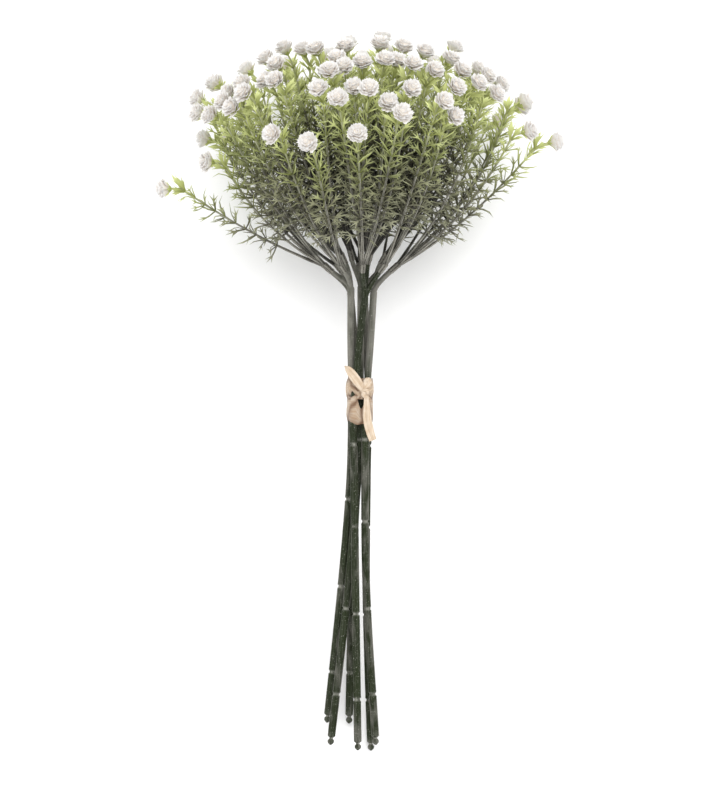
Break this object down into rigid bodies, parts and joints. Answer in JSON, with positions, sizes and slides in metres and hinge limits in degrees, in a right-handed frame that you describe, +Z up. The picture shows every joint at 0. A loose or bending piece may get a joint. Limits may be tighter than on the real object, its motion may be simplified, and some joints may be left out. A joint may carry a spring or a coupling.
{
  "type": "gypsophila stem",
  "caption": "Tied bunch of artificial gypsophila: dusty jointed stems, leafy branchlets with small double blooms, and a raffia tie, lying flat.",
  "frame": {"origin": "bottom centre of the lying bunch's bounding box, on the table", "axes": "+Y along the bunch towards its flower head, +Z up, +X to the right seen from above with the head away from the viewer"},
  "size_m": [0.2244, 0.3934, 0.1727],
  "materials": {
    "foliage": "matte moulded polyethylene, grey-green with white blooms",
    "stem_plastic": "matte dark green with grey dusting",
    "raffia": "natural raffia ribbon"
  },
  "bodies": {
    "root": {"cluster_01": "foliage", "cluster_02": "foliage", "cluster_03": "foliage", "cluster_04": "foliage", "cluster_05": "foliage", "cluster_06": "foliage", "cluster_07": "foliage", "cluster_08": "foliage", "cluster_09": "foliage", "cluster_10": "foliage", "cluster_11": "foliage", "cluster_12": "foliage", "cluster_13": "foliage", "cluster_14": "foliage", "cluster_15": "foliage", "cluster_16": "foliage", "cluster_17": "foliage", "cluster_18": "foliage", "stem_1": "stem_plastic", "stem_2": "stem_plastic", "stem_3": "stem_plastic", "stem_4": "stem_plastic", "stem_5": "stem_plastic", "stem_6": "stem_plastic", "raffia_tie": "raffia"}
  },
  "joints": []
}
